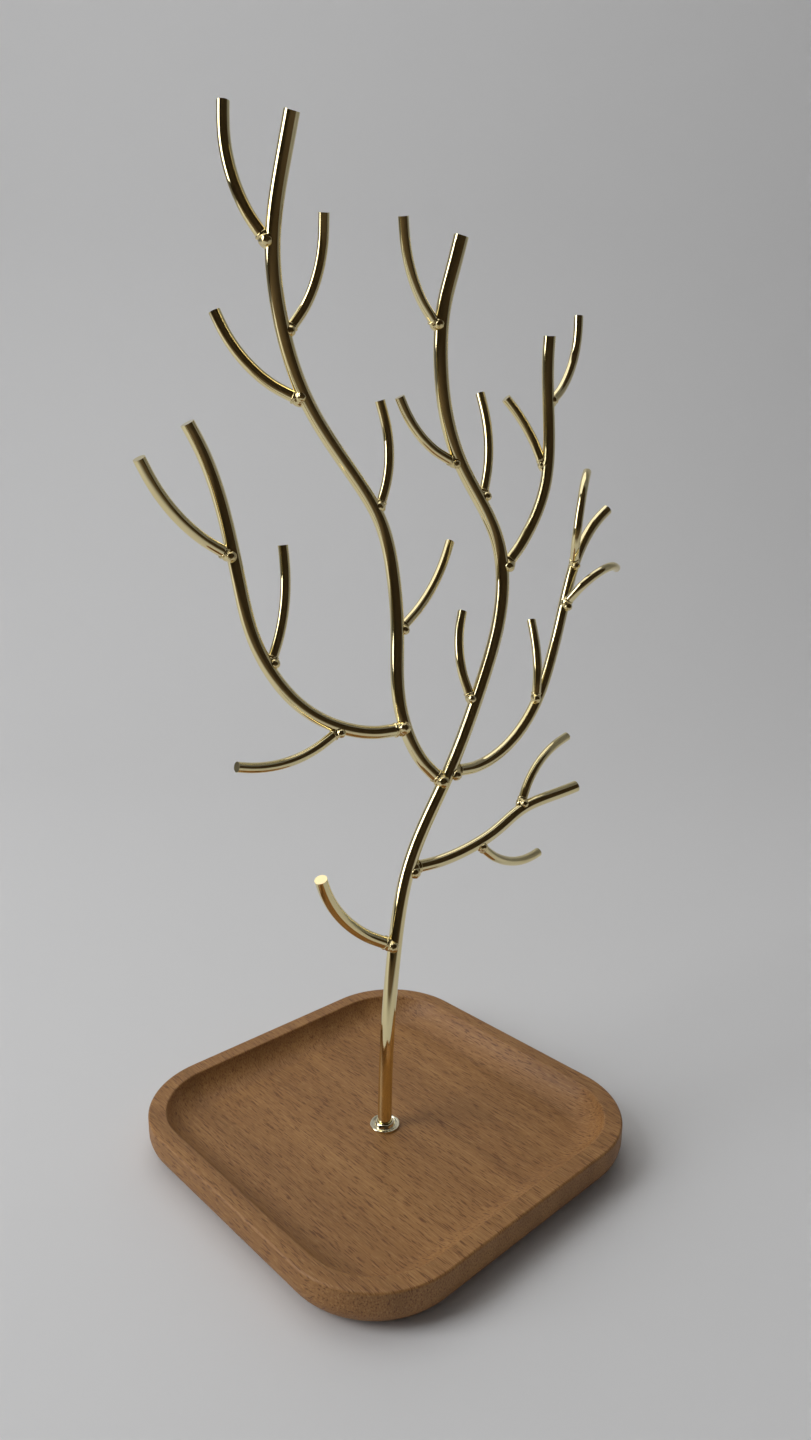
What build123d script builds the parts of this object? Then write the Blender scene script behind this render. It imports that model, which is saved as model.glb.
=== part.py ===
"""Jewellery tree: plated steel rods welded into a tree, held on a hollowed beech tray by one screw.

Millimetres, +Z up. The origin is the centre of the tray's underside, with the tray's sides
along X and Y. The grain of the wood runs along X.
"""

import math
import os

from build123d import *

# Tray
TRAY_SIDE = 150.0  # square tray, side to side
TRAY_HEIGHT = 15.0
TRAY_CORNER_RADIUS = 34.7  # corners seen from above
TRAY_FOOT_ROUND = 8.8  # large rounding under the outer side
RIM_WIDTH = 6.8
RIM_ROUND = 0.9  # worn edges of the rim
HOLLOW_DEPTH = 8.5
HOLLOW_DRAFT = 26.0  # degrees that the hollow's wall leans outwards
HOLLOW_COVE = 12.5  # rounding between the hollow's wall and its floor

# Rods: solid round steel, each one thinner than the rod that it is welded to
STEM_DIAMETER = 5.5
SIDE_STEM_DIAMETER = 5.3
SIDE_BRANCH_DIAMETER = 5.1
BRANCH_DIAMETER = 4.8
LONG_TWIG_DIAMETER = 4.3
TWIG_DIAMETER = 3.8
ROD_END_EASE = 0.35  # eased edge of a cut end
BEAD_SWELL = 1.16  # weld bead's diameter as a share of its rod's
COPE_REACH = 2.5  # carrier's length on each side of a weld, in its diameters

# Collar: a dished washer with a cup that centres the trunk
COLLAR_DIAMETER = 11.6
COLLAR_WEB = 1.0  # thickness under the trunk's end
COLLAR_RIM = 0.9  # thickness of the flange at its edge
CUP_WALL = 0.9
CUP_HEIGHT = 2.2  # from the floor of the hollow to the top of the cup
FLANGE_DISH = 0.35  # how far the flange sinks between its edge and the cup

# Screw: countersunk, from below, into the tapped end of the trunk
SCREW_DIAMETER = 3.0
SCREW_HEAD_DIAMETER = 5.6
SCREW_HEAD_SINK = 0.6  # head's face above the tray's underside
SCREW_ENGAGEMENT = 8.0  # thread inside the trunk
SCREW_SLOT_WIDTH = 0.8
SCREW_SLOT_DEPTH = 0.7
TAPPED_HOLE_EXTRA = 1.5  # free depth beyond the screw's tip

# Clearances
SCREW_GAP = 0.05  # round the screw in the trunk and in the countersink
WOOD_GAP = 0.08  # round the screw in the tray's hole
COLLAR_GAP = 0.08  # round the screw in the collar
CUP_GAP = 0.08  # round the trunk in the collar's cup

# Routes of the rods: points passed, from the point where the rod starts on its carrier
LEADER_ROUTE = [
    (-4.0, 8.5, 72.0), (-6.5, 18.0, 101.0), (-6.5, 38.0, 133.0), (-7.5, 57.5, 167.0),
    (-9.0, 69.5, 198.0), (-12.0, 69.0, 223.0), (-18.0, 55.0, 249.5), (-20.0, 45.0, 278.5),
    (-18.0, 42.5, 303.5), (-12.0, 45.0, 328.5),
]
LEFT_STEM_ROUTE = [
    (-5.5, -10.0, 13.0), (-10.5, -14.5, 33.0), (-14.5, -12.0, 59.0), (-17.0, -12.0, 79.5),
    (-20.0, -15.5, 99.0), (-24.0, -25.5, 116.0), (-29.0, -43.5, 142.5), (-29.5, -53.0, 167.5),
    (-26.5, -57.5, 191.0), (-22.5, -57.5, 206.5), (-16.0, -57.0, 225.0),
]
LEFT_BRANCH_ROUTE = [
    (-5.5, -18.5, 0.5), (-14.0, -40.0, 12.5), (-18.5, -48.5, 24.5), (-22.0, -53.5, 37.5),
    (-25.0, -56.5, 56.0), (-28.0, -58.5, 74.0), (-32.5, -70.0, 109.0),
]
RIGHT_BRANCH_ROUTE = [
    (2.5, 20.0, 1.0), (2.5, 47.0, 18.5), (0.0, 59.5, 35.0), (-4.0, 72.5, 58.0),
    (-6.5, 82.0, 75.5), (-6.5, 103.5, 98.5),
]
LOW_BRANCH_ROUTE = [
    (4.5, 16.0, 1.0), (7.5, 27.5, 4.0), (10.0, 40.0, 9.0), (12.0, 52.0, 15.5),
    (15.0, 63.5, 18.5), (18.5, 78.5, 21.0),
]
HIGH_BRANCH_ROUTE = [
    (1.0, 7.0, 7.5), (2.0, 13.5, 16.5), (3.0, 21.0, 33.5), (3.0, 21.5, 58.5), (4.5, 18.0, 89.0),
]

# Stems and branches: name, carrier, distance along the carrier, diameter, route
BRANCHES = [
    ("left_stem", "leader", 138.0, SIDE_STEM_DIAMETER, LEFT_STEM_ROUTE),
    ("left_branch", "left_stem", 28.0, SIDE_BRANCH_DIAMETER, LEFT_BRANCH_ROUTE),
    ("right_branch", "leader", 143.0, BRANCH_DIAMETER, RIGHT_BRANCH_ROUTE),
    ("low_branch", "leader", 102.0, BRANCH_DIAMETER, LOW_BRANCH_ROUTE),
    ("high_branch", "leader", 226.0, BRANCH_DIAMETER, HIGH_BRANCH_ROUTE),
]

# Twigs are single arcs: name, carrier, distance along it, diameter, middle point, tip
TWIGS = [
    ("leader_twig_1", "leader", 72.0, BRANCH_DIAMETER, (-5.5, -20.0, 14.5), (-5.0, -31.5, 34.0)),
    ("leader_twig_2", "leader", 171.0, TWIG_DIAMETER, (-5.5, -2.5, 16.0), (-10.5, 3.0, 35.5)),
    ("leader_twig_3", "leader", 255.0, TWIG_DIAMETER, (-4.0, 8.0, 21.5), (-10.5, 9.5, 41.0)),
    ("leader_twig_4", "leader", 271.0, TWIG_DIAMETER, (-4.5, -16.0, 9.0), (-7.0, -26.0, 23.5)),
    ("leader_twig_5", "leader", 320.0, TWIG_DIAMETER, (-1.0, -13.0, 15.5), (1.0, -20.0, 34.5)),
    ("left_stem_twig_1", "left_stem", 65.0, TWIG_DIAMETER, (-3.5, 20.5, 13.5), (-8.5, 36.0, 31.5)),
    ("left_stem_twig_2", "left_stem", 110.0, TWIG_DIAMETER, (-1.5, 7.5, 20.5), (-3.5, 4.5, 39.5)),
    ("left_stem_twig_3", "left_stem", 156.0, LONG_TWIG_DIAMETER, (-9.5, -13.0, 8.5), (-18.7, -24.6, 28.9)),
    ("left_stem_twig_4", "left_stem", 179.0, TWIG_DIAMETER, (3.5, 11.0, 18.5), (8.0, 11.0, 38.5)),
    ("left_stem_twig_5", "left_stem", 206.0, LONG_TWIG_DIAMETER, (-5.4, -8.9, 15.2), (-8.5, -11.7, 41.8)),
    ("left_branch_twig_1", "left_branch", 27.0, TWIG_DIAMETER, (0.0, -19.0, -8.0), (-1.5, -44.5, -7.0)),
    ("left_branch_twig_2", "left_branch", 63.0, TWIG_DIAMETER, (-2.5, 9.0, 20.0), (-4.5, 10.5, 42.5)),
    ("left_branch_twig_3", "left_branch", 104.0, LONG_TWIG_DIAMETER, (-1.5, -19.5, 13), (-1, -33.5, 32)),
    ("right_branch_twig_1", "right_branch", 55.0, TWIG_DIAMETER, (-0.5, 1.0, 17.5), (-7.5, 4.5, 33.5)),
    ("right_branch_twig_2", "right_branch", 101.0, TWIG_DIAMETER, (9.0, 5.0, 12.0), (8.0, 25.5, 16.0)),
    ("right_branch_twig_3", "right_branch", 120.0, TWIG_DIAMETER, (5.0, -5.0, 17.5), (-2.5, 9.5, 39.5)),
    ("low_branch_twig_1", "low_branch", 32.0, TWIG_DIAMETER, (2.0, 15.5, -11.0), (2.0, 35.5, -12.5)),
    ("low_branch_twig_2", "low_branch", 55.0, TWIG_DIAMETER, (-4.0, 15.0, 15.0), (-6.0, 37.0, 23.5)),
    ("high_branch_twig_1", "high_branch", 43.0, TWIG_DIAMETER, (-6.3, -3.5, 16.8), (-11.7, -12.5, 30.1)),
    ("high_branch_twig_2", "high_branch", 71.0, TWIG_DIAMETER, (-2.0, 15.5, 14.5), (-4.5, 22.5, 35.5)),
]

FLOOR_Z = TRAY_HEIGHT - HOLLOW_DEPTH  # floor of the hollow
TRUNK_FOOT_Z = FLOOR_Z + COLLAR_WEB  # trunk's end on the collar's web
SCREW_TIP_Z = TRUNK_FOOT_Z + SCREW_ENGAGEMENT
HEAD_HEIGHT = (SCREW_HEAD_DIAMETER - SCREW_DIAMETER) / 2  # 90 degree cone


def save(piece, name):
    piece.part.label = name
    export_step(piece.part, f"parts/{name}.step")


def make_tray():
    with BuildPart() as tray:
        with BuildSketch():
            RectangleRounded(TRAY_SIDE, TRAY_SIDE, TRAY_CORNER_RADIUS)
        extrude(amount=TRAY_HEIGHT)
        fillet(tray.edges().group_by(Axis.Z)[0], TRAY_FOOT_ROUND)
        inner_side = TRAY_SIDE - 2 * RIM_WIDTH
        with BuildSketch(Plane.XY.offset(TRAY_HEIGHT)):
            RectangleRounded(inner_side, inner_side, TRAY_CORNER_RADIUS - RIM_WIDTH)
        extrude(amount=-HOLLOW_DEPTH, taper=HOLLOW_DRAFT, mode=Mode.SUBTRACT)
        fillet(tray.edges().group_by(Axis.Z)[-1], RIM_ROUND)
        hollow_floor = tray.faces().filter_by(Plane.XY).sort_by(Axis.Z)[-2]
        fillet(hollow_floor.outer_wire().edges(), HOLLOW_COVE)
        with Locations((0, 0, FLOOR_Z)):
            Hole(SCREW_DIAMETER / 2 + WOOD_GAP)
        add(countersink(SCREW_GAP), mode=Mode.SUBTRACT)
    return tray


def countersink(gap):
    """Recess for the screw's head, gap wider than the head all round."""
    sink_radius = SCREW_HEAD_DIAMETER / 2 + gap
    with BuildPart() as recess:
        with BuildSketch(Plane.XZ):
            with BuildLine():
                Polyline(
                    (0, 0),
                    (sink_radius, 0),
                    (sink_radius, SCREW_HEAD_SINK + gap),
                    (0, SCREW_HEAD_SINK + gap + sink_radius),
                    close=True,
                )
            make_face()
        revolve(axis=Axis.Z)
    return recess.part


def make_collar():
    cup_inner = STEM_DIAMETER / 2 + CUP_GAP
    cup_outer = cup_inner + CUP_WALL
    edge = COLLAR_DIAMETER / 2
    with BuildPart() as collar:
        with BuildSketch(Plane.XZ):
            with BuildLine():
                Polyline(
                    (SCREW_DIAMETER / 2 + COLLAR_GAP, FLOOR_Z),
                    (edge, FLOOR_Z),
                    (edge, FLOOR_Z + COLLAR_RIM),
                    (edge - CUP_WALL / 2, FLOOR_Z + COLLAR_RIM),
                    (cup_outer + CUP_WALL / 2, FLOOR_Z + COLLAR_RIM - FLANGE_DISH),
                    (cup_outer, FLOOR_Z + CUP_HEIGHT),
                    (cup_inner, FLOOR_Z + CUP_HEIGHT),
                    (cup_inner, TRUNK_FOOT_Z),
                    (SCREW_DIAMETER / 2 + COLLAR_GAP, TRUNK_FOOT_Z),
                    close=True,
                )
            make_face()
        revolve(axis=Axis.Z)
    return collar


def make_screw():
    head_z = SCREW_HEAD_SINK
    radius = SCREW_DIAMETER / 2
    with BuildPart() as screw:
        with BuildSketch(Plane.XZ):
            with BuildLine():
                Polyline(
                    (0, head_z),
                    (SCREW_HEAD_DIAMETER / 2, head_z),
                    (radius, head_z + HEAD_HEIGHT),
                    (radius, SCREW_TIP_Z - radius / 3),
                    (radius * 2 / 3, SCREW_TIP_Z),
                    (0, SCREW_TIP_Z),
                    close=True,
                )
            make_face()
        revolve(axis=Axis.Z)
        with BuildSketch(Plane.XY.offset(head_z)):
            Rectangle(SCREW_HEAD_DIAMETER, SCREW_SLOT_WIDTH)
            Rectangle(SCREW_SLOT_WIDTH, SCREW_HEAD_DIAMETER)
            Circle(SCREW_HEAD_DIAMETER * 0.3, mode=Mode.INTERSECT)
        extrude(amount=SCREW_SLOT_DEPTH, mode=Mode.SUBTRACT)
    return screw


def spline_path(start, route, upright=False):
    """Smooth path through the points of a route; an upright one leaves its start vertically."""
    points = [Vector(*point) for point in route]
    last_direction = (points[-1] - points[-2]).normalized()
    with BuildLine() as line:
        Spline(
            [start] + [start + point for point in points],
            tangents=[Vector(0, 0, 1), last_direction] if upright else None,
        )
    return line.edge()


def arc_path(start, middle, tip):
    with BuildLine() as line:
        ThreePointArc(start, start + Vector(*middle), start + Vector(*tip))
    return line.edge()


def plane_on(path, distance):
    """Plane square to a path, with its origin at a distance along it in millimetres."""
    share = distance / path.length
    return Plane(origin=path.position_at(share), z_dir=path.tangent_at(share))


def add_rod(path, diameter):
    """Sweep the round section along the path and ease the edge of the free end."""
    with BuildSketch(Plane(origin=path @ 0, z_dir=path % 0)) as section:
        Circle(diameter / 2)
    sweep(section.sketch, path=path)
    with BuildSketch(Plane(origin=path @ 1, z_dir=path % 1)) as end:
        Circle(diameter / 2)
    extrude(end.sketch, amount=ROD_END_EASE, taper=45)


def make_leader(path):
    with BuildPart() as leader:
        add_rod(path, STEM_DIAMETER)
        with BuildSketch(Plane.XY.offset(TRUNK_FOOT_Z)) as hole:
            Circle(SCREW_DIAMETER / 2 + SCREW_GAP)
        extrude(hole.sketch, amount=SCREW_ENGAGEMENT + TAPPED_HOLE_EXTRA, mode=Mode.SUBTRACT)
    return leader


def stretch_of(path, distance, diameter):
    """The part of a carrier's rod that a weld touches, to cope the welded rod with."""
    reach = COPE_REACH * diameter
    first = max(0.0, (distance - reach) / path.length)
    last = min(1.0, (distance + reach) / path.length)
    with BuildPart() as stretch:
        add_rod(path.trim(first, last), diameter)
    return stretch.part


def make_welded_rod(path, diameter, carrier_path, carrier_diameter, distance):
    """A rod coped to its carrier, with the weld bead where it leaves the carrier's surface."""
    carrier_direction = plane_on(carrier_path, distance).z_dir
    angle = math.radians((path % 0).get_angle(carrier_direction))
    bead_at = carrier_diameter / 2 / math.sin(angle)
    stretch = stretch_of(carrier_path, distance, carrier_diameter)
    with BuildPart() as rod:
        add_rod(path, diameter)
        with Locations(plane_on(path, bead_at)):
            Sphere(diameter / 2 * BEAD_SWELL)
        add(stretch, mode=Mode.SUBTRACT)
    return rod


def make_tree():
    """Every rod by name, each one welded to a rod made before it."""
    paths = {"leader": spline_path(Vector(0, 0, TRUNK_FOOT_Z), LEADER_ROUTE, upright=True)}
    diameters = {"leader": STEM_DIAMETER}
    rods = {"leader": make_leader(paths["leader"])}

    def weld(name, carrier, distance, diameter, path):
        rods[name] = make_welded_rod(path, diameter, paths[carrier], diameters[carrier], distance)
        paths[name] = path
        diameters[name] = diameter

    for name, carrier, distance, diameter, route in BRANCHES:
        start = plane_on(paths[carrier], distance).origin
        weld(name, carrier, distance, diameter, spline_path(start, route))
    for name, carrier, distance, diameter, middle, tip in TWIGS:
        start = plane_on(paths[carrier], distance).origin
        weld(name, carrier, distance, diameter, arc_path(start, middle, tip))
    return rods


os.makedirs("parts", exist_ok=True)
save(make_tray(), "tray")
save(make_collar(), "collar")
save(make_screw(), "fixing_screw")
for rod_name, rod_piece in make_tree().items():
    save(rod_piece, rod_name)
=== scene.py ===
"""Jewellery tree: welded, brass-plated rods on a hollowed square tray of oiled beech.

Metres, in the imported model's frame: +Z up, origin under the centre of the tray, grain along X.
"""

import math

import bmesh
import bpy
from mathutils import Matrix, Vector, kdtree
from mathutils.bvhtree import BVHTree


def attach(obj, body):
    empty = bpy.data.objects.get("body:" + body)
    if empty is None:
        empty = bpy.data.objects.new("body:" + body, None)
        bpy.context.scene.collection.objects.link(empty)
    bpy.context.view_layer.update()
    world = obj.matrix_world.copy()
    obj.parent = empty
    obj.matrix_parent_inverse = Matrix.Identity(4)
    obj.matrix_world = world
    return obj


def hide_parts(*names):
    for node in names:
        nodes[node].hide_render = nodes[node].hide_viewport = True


MM = 0.001

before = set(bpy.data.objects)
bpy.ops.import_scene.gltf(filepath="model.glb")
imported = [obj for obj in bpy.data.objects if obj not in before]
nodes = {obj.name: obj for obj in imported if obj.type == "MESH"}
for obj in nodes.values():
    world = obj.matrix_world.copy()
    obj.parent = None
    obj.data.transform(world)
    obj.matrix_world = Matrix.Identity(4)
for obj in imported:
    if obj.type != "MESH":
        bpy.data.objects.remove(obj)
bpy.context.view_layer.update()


# ---------------------------------------------------------------- helpers

def rgb(code):
    """sRGB hex to the linear colour that Blender's sockets hold."""
    channels = [int(code[i:i + 2], 16) / 255 for i in (1, 3, 5)]
    linear = [c / 12.92 if c <= 0.04045 else ((c + 0.055) / 1.055) ** 2.4 for c in channels]
    return (*linear, 1.0)


def add_node(tree, kind, settings=None, values=None, links=None):
    """One shader node with its settings, its input values and the links into it."""
    node = tree.nodes.new(kind)
    for name, value in (settings or {}).items():
        setattr(node, name, value)
    for socket, value in (values or {}).items():
        node.inputs[socket].default_value = value
    for socket, source in (links or {}).items():
        tree.links.new(source, node.inputs[socket])
    return node


def set_ramp(node, stops):
    """Give a colour ramp its stops, as (position, hex colour)."""
    elements = node.color_ramp.elements
    while len(elements) < len(stops):
        elements.new(0.5)
    for element, (position, code) in zip(elements, stops):
        element.position = position
        element.color = rgb(code)


def new_material(name):
    """An empty node material with its shader and the object coordinates."""
    material = bpy.data.materials.new(name)
    material.use_nodes = True
    tree = material.node_tree
    tree.nodes.clear()
    shader = add_node(tree, "ShaderNodeBsdfPrincipled")
    add_node(tree, "ShaderNodeOutputMaterial", links={"Surface": shader.outputs["BSDF"]})
    place = add_node(tree, "ShaderNodeTexCoord").outputs["Object"]
    return material, tree, shader, place


def finish_with(piece, material):
    """Put one material on a whole piece."""
    piece.data.materials.clear()
    piece.data.materials.append(material)


def deselect_all():
    bpy.ops.object.select_all(action="DESELECT")


# ---------------------------------------------------------------- materials

def make_oiled_beech():
    """Beech, planed, routed and oiled: warm brown, straight fine grain and short dark ray flecks.

    The oil leaves a satin sheen, in which the fibres show. The pattern is solid, so that the
    routed cove cuts its flecks longer and the sides across the grain show them end on.
    """
    material, tree, shader, place = new_material("oiled_beech")

    # Growth bands 8 mm wide, drawn out along the grain
    band_place = add_node(tree, "ShaderNodeMapping", {}, {"Scale": (5.0, 125.0, 60.0)}, {"Vector": place})
    bands = add_node(tree, "ShaderNodeTexNoise", {}, {"Scale": 1.0, "Detail": 3.0, "Roughness": 0.5},
                     {"Vector": band_place.outputs["Vector"]})
    band_tone = add_node(tree, "ShaderNodeValToRGB", links={"Fac": bands.outputs["Fac"]})
    set_ramp(band_tone, [(0.30, "#986C3A"), (0.50, "#A57641"), (0.72, "#B1824B")])

    # Fibres 0.4 mm wide and 20 mm long
    fibre_place = add_node(tree, "ShaderNodeMapping", {}, {"Scale": (50.0, 2500.0, 1500.0)}, {"Vector": place})
    fibres = add_node(tree, "ShaderNodeTexNoise", {}, {"Scale": 1.0, "Detail": 3.0, "Roughness": 0.6},
                      {"Vector": fibre_place.outputs["Vector"]})
    fibre_tone = add_node(tree, "ShaderNodeValToRGB", links={"Fac": fibres.outputs["Fac"]})
    set_ramp(fibre_tone, [(0.35, "#D8CBBC"), (0.65, "#FFFFFF")])
    wood = add_node(tree, "ShaderNodeMix", {"data_type": "RGBA", "blend_type": "MULTIPLY"}, {0: 0.8},
                    {6: band_tone.outputs["Color"], 7: fibre_tone.outputs["Color"]})

    # Ray flecks 4 mm long and 0.4 mm wide, the sharp ones darker than the wood and the faint ones paler
    fleck_place = add_node(tree, "ShaderNodeMapping", {}, {"Scale": (240.0, 2600.0, 1300.0)}, {"Vector": place})
    flecks = add_node(tree, "ShaderNodeTexNoise", {}, {"Scale": 1.0, "Detail": 1.5, "Roughness": 0.45},
                      {"Vector": fleck_place.outputs["Vector"]})
    dark_share = add_node(tree, "ShaderNodeMapRange", {"interpolation_type": "SMOOTHSTEP"},
                          {"From Min": 0.56, "From Max": 0.67, "To Min": 0.0, "To Max": 0.85},
                          {"Value": flecks.outputs["Fac"]})
    darker = add_node(tree, "ShaderNodeMix", {"data_type": "RGBA"}, {7: rgb("#6A3F1B")},
                      {0: dark_share.outputs["Result"], 6: wood.outputs[2]})
    pale_share = add_node(tree, "ShaderNodeMapRange", {"interpolation_type": "SMOOTHSTEP"},
                          {"From Min": 0.42, "From Max": 0.32, "To Min": 0.0, "To Max": 0.30},
                          {"Value": flecks.outputs["Fac"]})
    flecked = add_node(tree, "ShaderNodeMix", {"data_type": "RGBA"}, {7: rgb("#C59A62")},
                       {0: pale_share.outputs["Result"], 6: darker.outputs[2]})
    tree.links.new(flecked.outputs[2], shader.inputs["Base Color"])

    sheen = add_node(tree, "ShaderNodeMapRange", {}, {"To Min": 0.46, "To Max": 0.62},
                     {"Value": fibres.outputs["Fac"]})
    tree.links.new(sheen.outputs["Result"], shader.inputs["Roughness"])
    relief = add_node(tree, "ShaderNodeBump", {}, {"Strength": 0.35, "Distance": 0.00006},
                      {"Height": flecks.outputs["Fac"]})
    tree.links.new(relief.outputs["Normal"], shader.inputs["Normal"])
    shader.inputs["IOR"].default_value = 1.5
    return material


def make_plated_steel(name, tone, dull, roughness):
    """Plated and polished steel: a mirror in the tint of its plating, with faint handling marks."""
    material, tree, shader, place = new_material(name)
    # Tone drifts over 25 mm where the plating is thinner
    drift = add_node(tree, "ShaderNodeTexNoise", {}, {"Scale": 40.0, "Detail": 2.0}, {"Vector": place})
    colour = add_node(tree, "ShaderNodeMix", {"data_type": "RGBA"}, {6: rgb(tone), 7: rgb(dull)},
                      {0: drift.outputs["Fac"]})
    tree.links.new(colour.outputs[2], shader.inputs["Base Color"])
    shader.inputs["Metallic"].default_value = 1.0
    # Marks 0.6 mm across, each a little duller or brighter than the plating round it
    marks = add_node(tree, "ShaderNodeTexNoise", {}, {"Scale": 1600.0, "Detail": 3.0}, {"Vector": place})
    polish = add_node(tree, "ShaderNodeMapRange", {}, {"To Min": roughness * 0.7, "To Max": roughness * 1.5},
                      {"Value": marks.outputs["Fac"]})
    tree.links.new(polish.outputs["Result"], shader.inputs["Roughness"])
    return material


# Brass plating is pale gold, duller on the rough welds. Zinc plating is a bluish grey.
oiled_beech = make_oiled_beech()
plated_rod = make_plated_steel("brass_plated_steel_rod", "#F3E7BC", "#E8D69C", 0.05)
plated_weld = make_plated_steel("brass_plated_weld", "#EFE2B4", "#D9C48A", 0.09)
plated_collar = make_plated_steel("brass_plated_stamped_washer", "#F4EFD8", "#E9E0BC", 0.08)
zinc_screw = make_plated_steel("zinc_plated_steel_screw", "#C9CCD0", "#B4B8BE", 0.28)
finish_with(nodes["tray"], oiled_beech)
finish_with(nodes["fixing_screw"], zinc_screw)


# ---------------------------------------------------------------- rods and welds

STEM, SIDE_STEM, SIDE_BRANCH, BRANCH = 5.5 * MM, 5.3 * MM, 5.1 * MM, 4.8 * MM
LONG_TWIG, TWIG = 4.3 * MM, 3.8 * MM
DIAMETERS = {
    "leader": STEM, "left_stem": SIDE_STEM, "left_branch": SIDE_BRANCH, "right_branch": BRANCH,
    "low_branch": BRANCH, "high_branch": BRANCH, "leader_twig_1": BRANCH,
    "left_stem_twig_3": LONG_TWIG, "left_stem_twig_5": LONG_TWIG, "left_branch_twig_3": LONG_TWIG,
}
CARRIERS = {
    "left_stem": "leader", "left_branch": "left_stem", "right_branch": "leader",
    "low_branch": "leader", "high_branch": "leader",
}
TRUNK_FOOT = Vector((0.0, 0.0, 7.5 * MM))
STEP = 4.0 * MM  # between the points that a rod's curve is given
ROUND_PARTS = 32  # faces round a rod
END_EASE = 0.35 * MM
TOUCHING = 0.1 * MM  # between a carrier and the points of a foot that lie on it
LEAVING = (6 * MM, 8 * MM)  # distances from its foot at which a rod's direction is read
NEARBY = 0.35 * STEP  # reach of the search for the next point of an axis
FEWEST_NEARBY = 12  # an axis ends where fewer points than this are found
WELDING_SIDE = Vector((0.9, -0.4, 0.0))


def carrier_of(name):
    return name.rsplit("_twig_", 1)[0] if "_twig_" in name else CARRIERS[name]


def mean(points):
    return sum(points, Vector()) / len(points)


def foot_of(name):
    """Where a welded rod meets its carrier, and the direction in which it leaves."""
    vertices = [v.co for v in nodes[name].data.vertices]
    carrier = nodes[carrier_of(name)].data
    surface = BVHTree.FromPolygons([v.co for v in carrier.vertices], [p.vertices for p in carrier.polygons])
    seat = mean([co for co in vertices if surface.find_nearest(co)[3] < TOUCHING])
    beyond = mean([co for co in vertices if LEAVING[0] < (co - seat).length < LEAVING[1]])
    return seat, (beyond - seat).normalized()


def centreline(name, radius):
    """Points on a rod's axis, one STEP apart, found from the inside of the CAD solid's surface."""
    vertices = nodes[name].data.vertices
    inner = kdtree.KDTree(len(vertices))
    for index, vertex in enumerate(vertices):
        inner.insert(vertex.co - vertex.normal * radius, index)
    inner.balance()
    if name == "leader":
        points, ahead = [TRUNK_FOOT], Vector((0.0, 0.0, 1.0))
        here = TRUNK_FOOT + ahead * STEP
        points.append(here)
    else:
        seat, ahead = foot_of(name)
        points = [seat - ahead * radius]
        here = seat + ahead * 1.5 * radius
    while True:
        near = inner.find_range(here + ahead * STEP, NEARBY)
        if len(near) < FEWEST_NEARBY:
            break
        there = mean([Vector(found[0]) for found in near])
        ahead = (there - here).normalized()
        here = there
        points.append(here)
    reach = max((v.co - here).dot(ahead) for v in vertices if (v.co - here).length < 3 * STEP)
    points[-1] = here - ahead * 0.2 * STEP
    points.append(here + ahead * reach)
    return points


def make_rod(name):
    """A smooth bent rod along the CAD rod's axis, cut square and eased at its free end."""
    radius = DIAMETERS.get(name, TWIG) / 2
    points = centreline(name, radius)
    deselect_all()
    bpy.ops.curve.primitive_nurbs_path_add()
    rod = bpy.context.object
    rod.name = "bent_" + name
    line = rod.data
    line.splines.clear()
    spline = line.splines.new("NURBS")
    spline.points.add(len(points) - 1)
    for point, place in zip(spline.points, points):
        point.co = (*place, 1.0)
    spline.order_u = 4
    spline.use_endpoint_u = True
    line.dimensions = "3D"
    line.resolution_u = 6
    line.bevel_depth = radius
    line.bevel_resolution = ROUND_PARTS // 4 - 1
    line.use_fill_caps = True
    bpy.ops.object.convert(target="MESH")
    rod = bpy.context.object
    bevel = rod.modifiers.new("eased end", "BEVEL")
    bevel.limit_method = "ANGLE"
    bevel.angle_limit = math.radians(60)
    bevel.width = END_EASE
    bevel.segments = 3
    bpy.ops.object.modifier_apply(modifier=bevel.name)
    bpy.ops.object.shade_smooth_by_angle(angle=math.radians(50))
    finish_with(rod, plated_rod)
    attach(rod, "tree")
    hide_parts(name)


def make_weld_pattern():
    """One weld for a rod of radius 1 that stands along +Z: a swollen foot, and a drop beside it."""
    deselect_all()
    bpy.ops.mesh.primitive_uv_sphere_add(segments=32, ring_count=16, radius=1.0, location=(0, 0, 0.15))
    weld = bpy.context.object
    weld.name = "weld_pattern"
    # The foot is stretched along the rod, the drop lies beside it and a ring runs up on to the rod
    bpy.ops.object.mode_set(mode="EDIT")
    bpy.ops.transform.resize(value=(1.16, 1.16, 1.3))
    bpy.ops.mesh.select_all(action="DESELECT")
    bpy.ops.mesh.primitive_uv_sphere_add(segments=24, ring_count=12, radius=0.95, location=(0.95, 0.15, 0.0))
    bpy.ops.mesh.select_all(action="DESELECT")
    bpy.ops.mesh.primitive_torus_add(
        major_radius=0.98, minor_radius=0.2, major_segments=40, minor_segments=12, location=(0, 0, 1.15)
    )
    bpy.ops.object.mode_set(mode="OBJECT")
    remesh = weld.modifiers.new("run together", "REMESH")
    remesh.mode = "VOXEL"
    remesh.voxel_size = 0.085
    bpy.ops.object.modifier_apply(modifier=remesh.name)
    smooth = weld.modifiers.new("melted", "SMOOTH")
    smooth.iterations = 6
    bpy.ops.object.modifier_apply(modifier=smooth.name)
    lumps = bpy.data.textures.new("weld_lumps", "CLOUDS")
    lumps.noise_scale = 0.55
    displace = weld.modifiers.new("lumps", "DISPLACE")
    displace.texture = lumps
    displace.strength = 0.16
    displace.mid_level = 0.5
    bpy.ops.object.modifier_apply(modifier=displace.name)
    bpy.ops.object.shade_smooth()
    return weld


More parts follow.
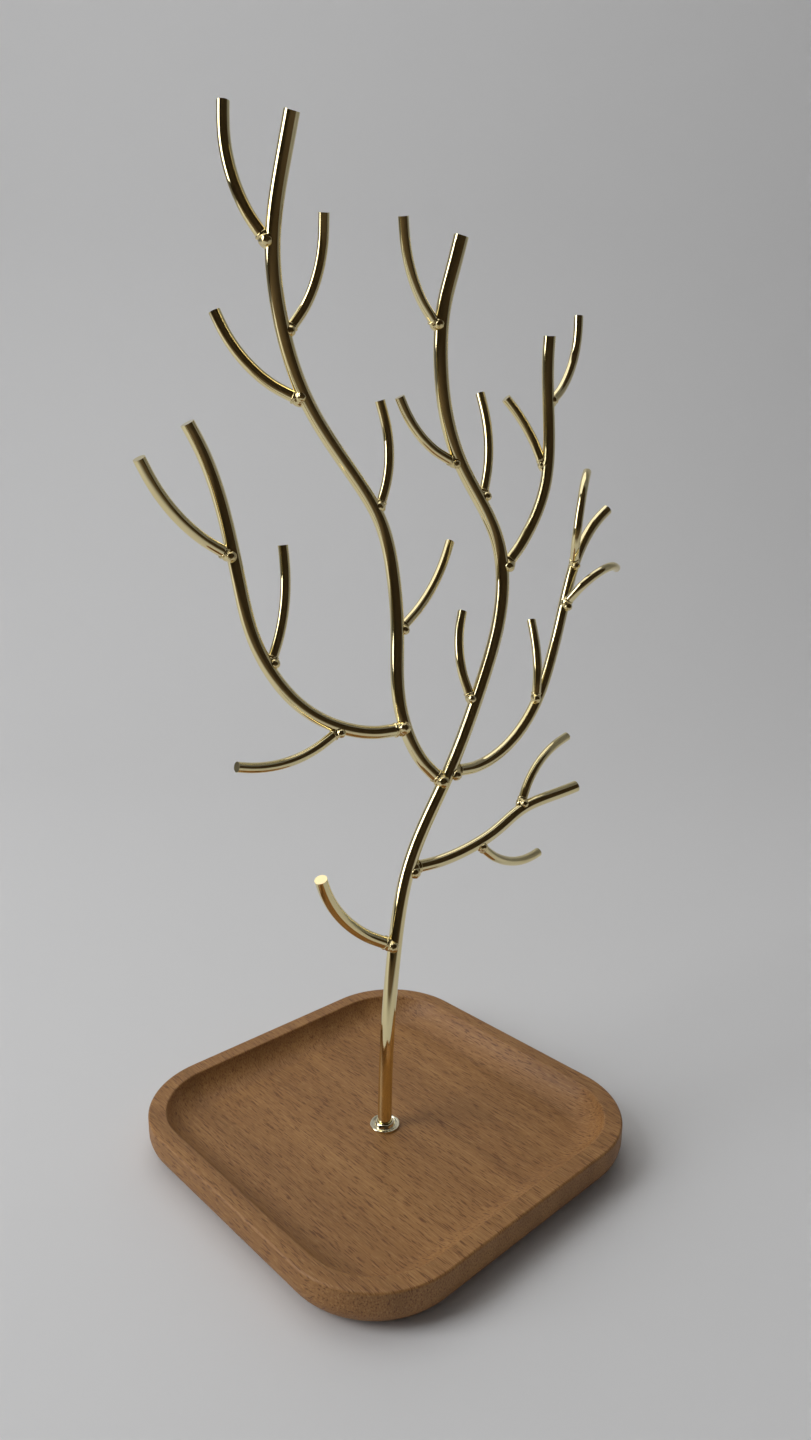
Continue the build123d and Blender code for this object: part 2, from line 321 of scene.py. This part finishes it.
def make_weld(pattern, name, turn):
    """A copy of the weld at a rod's foot. Its drop is on the side that the welder worked from, +X."""
    seat, ahead = foot_of(name)
    radius = DIAMETERS.get(name, TWIG) / 2
    weld = bpy.data.objects.new("weld_" + name, pattern.data.copy())
    bpy.context.scene.collection.objects.link(weld)
    outward = (WELDING_SIDE - WELDING_SIDE.dot(ahead) * ahead).normalized()
    stand = Matrix((outward, ahead.cross(outward), ahead)).transposed().to_4x4()
    weld.data.transform(
        Matrix.Translation(seat) @ stand @ Matrix.Rotation(turn, 4, "Z") @ Matrix.Scale(radius, 4)
    )
    finish_with(weld, plated_weld)
    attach(weld, "tree")


RODS = [name for name in nodes if name not in ("tray", "collar", "fixing_screw")]
pattern = make_weld_pattern()
for index, name in enumerate(RODS):
    make_rod(name)
    if name != "leader":
        make_weld(pattern, name, turn=math.radians(30 * math.sin(2.4 * index)))
bpy.data.objects.remove(pattern)


# ---------------------------------------------------------------- collar

FLOOR_Z = 6.5 * MM  # floor of the tray's hollow
COLLAR_RADIUS = 5.8 * MM
FLANGE_THICKNESS = 0.9 * MM
CUP_RADIUS = 3.73 * MM
TRUNK_GAP_RADIUS = 2.83 * MM  # inside of the cup
SCREW_HOLE_RADIUS = 1.58 * MM


def select_faces(piece, wanted):
    """Select the faces whose centre and normal pass a test. The piece is in edit mode."""
    mesh = bmesh.from_edit_mesh(piece.data)
    for face in mesh.faces:
        face.select_set(wanted(face.calc_center_median(), face.normal))
    mesh.select_flush_mode()
    bmesh.update_edit_mesh(piece.data)


def make_collar():
    """The stamped washer under the trunk: a rounded, slightly wavy flange and a cup round the rod."""
    deselect_all()
    bpy.ops.mesh.primitive_cylinder_add(
        vertices=64, radius=COLLAR_RADIUS, depth=FLANGE_THICKNESS,
        location=(0, 0, FLOOR_Z + FLANGE_THICKNESS / 2),
    )
    collar = bpy.context.object
    collar.name = "stamped_collar"
    bpy.ops.object.transform_apply(location=True)
    bpy.ops.object.mode_set(mode="EDIT")
    bpy.ops.mesh.select_mode(type="FACE")
    # The flange, sunk inside its edge
    select_faces(collar, lambda centre, normal: normal.z > 0.9)
    bpy.ops.mesh.inset(thickness=0.8 * MM)
    bpy.ops.mesh.inset(thickness=0.4 * MM, depth=-0.35 * MM)
    bpy.ops.mesh.inset(thickness=COLLAR_RADIUS - 1.2 * MM - CUP_RADIUS - 0.3 * MM)
    # The cup's wall, in three slopes, and its inside
    bpy.ops.mesh.inset(thickness=0.3 * MM, depth=1.0 * MM)
    bpy.ops.mesh.inset(thickness=0.2 * MM, depth=0.5 * MM)
    bpy.ops.mesh.inset(thickness=0.4 * MM, depth=0.1 * MM)
    bpy.ops.mesh.inset(thickness=CUP_RADIUS - 0.6 * MM - TRUNK_GAP_RADIUS)
    bpy.ops.mesh.extrude_region_move(TRANSFORM_OT_translate={"value": (0, 0, -1.15 * MM)})
    # The screw's hole, from the inside of the cup to the underside
    bpy.ops.mesh.inset(thickness=TRUNK_GAP_RADIUS - SCREW_HOLE_RADIUS)
    select_faces(collar, lambda centre, normal: normal.z < -0.9)
    bpy.ops.mesh.inset(thickness=COLLAR_RADIUS - SCREW_HOLE_RADIUS)
    on_axis = 0.1 * SCREW_HOLE_RADIUS
    select_faces(collar, lambda centre, normal: abs(normal.z) > 0.9 and centre.xy.length < on_axis)
    bpy.ops.mesh.bridge_edge_loops()
    bpy.ops.object.mode_set(mode="OBJECT")
    bevel = collar.modifiers.new("rolled edges", "BEVEL")
    bevel.limit_method = "ANGLE"
    bevel.angle_limit = math.radians(40)
    bevel.width = 0.32 * MM
    bevel.segments = 4
    bpy.ops.object.modifier_apply(modifier=bevel.name)
    waves = bpy.data.textures.new("collar_waves", "CLOUDS")
    waves.noise_scale = 2.6 * MM
    displace = collar.modifiers.new("wavy edge", "DISPLACE")
    displace.texture = waves
    displace.strength = 0.55 * MM
    bpy.ops.object.modifier_apply(modifier=displace.name)
    bpy.ops.object.shade_smooth_by_angle(angle=math.radians(60))
    finish_with(collar, plated_collar)
    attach(collar, "tree")
    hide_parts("collar")


make_collar()


# ---------------------------------------------------------------- floor, light and camera

YAW, ELEVATION, ROLL = math.radians(46.62), math.radians(13.461), math.radians(0.569)
towards_camera = Vector((
    math.sin(YAW) * math.cos(ELEVATION), -math.cos(YAW) * math.cos(ELEVATION), math.sin(ELEVATION)
))
image_right = Vector((math.cos(YAW), math.sin(YAW), 0.0))
CAMERA_PLACE = (0.24978, -0.22700, 0.25057)
SENSOR_WIDTH = 36.0  # millimetres
FOCAL_LENGTH, PHOTO_HEIGHT = 981.715, 1440  # pixels
FLOOR_SIZE = 6.0
SWEEP_BEHIND = 1.1  # from the tree to the wall
WALL_HEIGHT = 2.6
SWEEP_RADIUS = 0.6


def make_floor():
    """A plain pale paper sweep: the floor, and well behind the tree a curve up into a wall, with a painted dark
    reflection on its front part that only glossy rays see.
    """
    deselect_all()
    bpy.ops.mesh.primitive_plane_add(size=FLOOR_SIZE, location=(0, 0, 0))
    floor = bpy.context.object
    floor.name = "pale_floor"
    bpy.ops.object.mode_set(mode="EDIT")
    bpy.ops.mesh.select_mode(type="EDGE")
    mesh = bmesh.from_edit_mesh(floor.data)
    for vertex in mesh.verts:
        if vertex.co.y > 0:
            vertex.co.y = SWEEP_BEHIND
    for edge in mesh.edges:
        edge.select_set(all(vertex.co.y > 0 for vertex in edge.verts))
    bmesh.update_edit_mesh(floor.data)
    bpy.ops.mesh.extrude_region_move(TRANSFORM_OT_translate={"value": (0, 0, WALL_HEIGHT)})
    mesh = bmesh.from_edit_mesh(floor.data)
    for edge in mesh.edges:
        edge.select_set(all(vertex.co.y > 0 and vertex.co.z < 0.01 for vertex in edge.verts))
    bmesh.update_edit_mesh(floor.data)
    bpy.ops.mesh.bevel(offset=SWEEP_RADIUS, segments=24, affect="EDGES")
    bpy.ops.object.mode_set(mode="OBJECT")
    bpy.ops.object.shade_smooth()
    floor.data.transform(Matrix.Rotation(YAW, 4, "Z"))
    material, tree, shader, place = new_material("pale_paper_with_painted_reflection")
    # Painted reflection: glossy rays see the paper painted dark brown, rising from 0.16 m to 0.45 m towards the
    # camera, so the metal shows a dark room there. The camera and diffuse light see it pale
    forward = add_node(tree, "ShaderNodeVectorMath", {"operation": "DOT_PRODUCT"},
                       {1: (math.sin(YAW), -math.cos(YAW), 0.0)}, {0: place})
    beyond = add_node(tree, "ShaderNodeMapRange", {"interpolation_type": "SMOOTHSTEP"},
                      {"From Min": 0.16, "From Max": 0.45}, {"Value": forward.outputs["Value"]})
    ray = add_node(tree, "ShaderNodeLightPath")
    share = add_node(tree, "ShaderNodeMath", {"operation": "MULTIPLY"}, {},
                     {0: beyond.outputs["Result"], 1: ray.outputs["Is Glossy Ray"]})
    paper_and_painted_reflection = add_node(tree, "ShaderNodeMix", {"data_type": "RGBA"}, {6: rgb("#E3E2E1"), 7: rgb("#6A5A46")},
                     {0: share.outputs["Value"]})
    tree.links.new(paper_and_painted_reflection.outputs[2], shader.inputs["Base Color"])
    shader.inputs["Roughness"].default_value = 0.9
    shader.inputs["Specular IOR Level"].default_value = 0.2
    finish_with(floor, material)


def make_camera():
    """The photograph's viewpoint, solved from the square rim of the tray."""
    image_up = towards_camera.cross(image_right)
    right = math.cos(ROLL) * image_right + math.sin(ROLL) * image_up
    up = -math.sin(ROLL) * image_right + math.cos(ROLL) * image_up
    data = bpy.data.cameras.new("camera")
    camera = bpy.data.objects.new("camera", data)
    bpy.context.scene.collection.objects.link(camera)
    data.sensor_fit = "AUTO"
    data.sensor_width = SENSOR_WIDTH
    data.lens = SENSOR_WIDTH * FOCAL_LENGTH / PHOTO_HEIGHT
    data.clip_start = 0.01
    turn = Matrix((right, up, towards_camera)).transposed().to_4x4()
    camera.matrix_world = Matrix.Translation(CAMERA_PLACE) @ turn
    bpy.context.scene.camera = camera


def add_softbox(name, direction, distance, width, height, power, colour):
    """A soft rectangular lamp that faces the middle of the tree."""
    aim = Vector((0.0, 0.0, 0.16))
    data = bpy.data.lights.new(name, "AREA")
    data.shape = "RECTANGLE"
    data.size, data.size_y = width, height
    data.energy = power
    data.color = rgb(colour)[:3]
    lamp = bpy.data.objects.new(name, data)
    bpy.context.scene.collection.objects.link(lamp)
    away = direction.normalized()
    lamp.location = aim + away * distance
    lamp.rotation_mode = "QUATERNION"
    lamp.rotation_quaternion = away.to_track_quat("Z", "Y")


def make_world():
    """Pale all round for the camera. Metal shows it behind and above, and a darker room in front."""
    world = bpy.data.worlds.new("studio")
    bpy.context.scene.world = world
    world.use_nodes = True
    tree = world.node_tree
    tree.nodes.clear()
    direction = add_node(tree, "ShaderNodeTexCoord").outputs["Generated"]
    level = Vector((towards_camera.x, towards_camera.y, 0.0)).normalized()
    facing = add_node(tree, "ShaderNodeVectorMath", {"operation": "DOT_PRODUCT"}, {1: level}, {0: direction})
    front = add_node(tree, "ShaderNodeMapRange", {"interpolation_type": "SMOOTHSTEP"},
                     {"From Min": 0.25, "From Max": 0.95}, {"Value": facing.outputs["Value"]})
    height = add_node(tree, "ShaderNodeSeparateXYZ", links={"Vector": direction}).outputs["Z"]
    below_ceiling = add_node(tree, "ShaderNodeMapRange", {"interpolation_type": "SMOOTHSTEP"},
                             {"From Min": 0.55, "From Max": 0.10}, {"Value": height})
    share = add_node(tree, "ShaderNodeMath", {"operation": "MULTIPLY"}, {},
                     {0: front.outputs["Result"], 1: below_ceiling.outputs["Result"]})
    room = add_node(tree, "ShaderNodeMix", {"data_type": "RGBA"}, {6: rgb("#C9C8C5"), 7: rgb("#54483A")},
                    {0: share.outputs["Value"]})
    ray = add_node(tree, "ShaderNodeLightPath")
    seen = add_node(tree, "ShaderNodeMix", {"data_type": "RGBA"}, {7: rgb("#C6C4C1")},
                    {0: ray.outputs["Is Camera Ray"], 6: room.outputs[2]})
    light = add_node(tree, "ShaderNodeBackground", {}, {"Strength": 1.0}, {"Color": seen.outputs[2]})
    add_node(tree, "ShaderNodeOutputWorld", links={"Surface": light.outputs["Background"]})


make_floor()
make_camera()
make_world()
add_softbox(
    "window", -0.90 * image_right + 0.25 * towards_camera + Vector((0, 0, 0.45)),
    distance=1.3, width=0.6, height=1.2, power=11.5, colour="#F8FBFF",
)
add_softbox(
    "overhead", -0.25 * image_right - 0.35 * towards_camera + Vector((0, 0, 1.0)),
    distance=1.5, width=1.4, height=1.4, power=7.0, colour="#FFFFFF",
)
bpy.context.scene.view_settings.view_transform = "Standard"
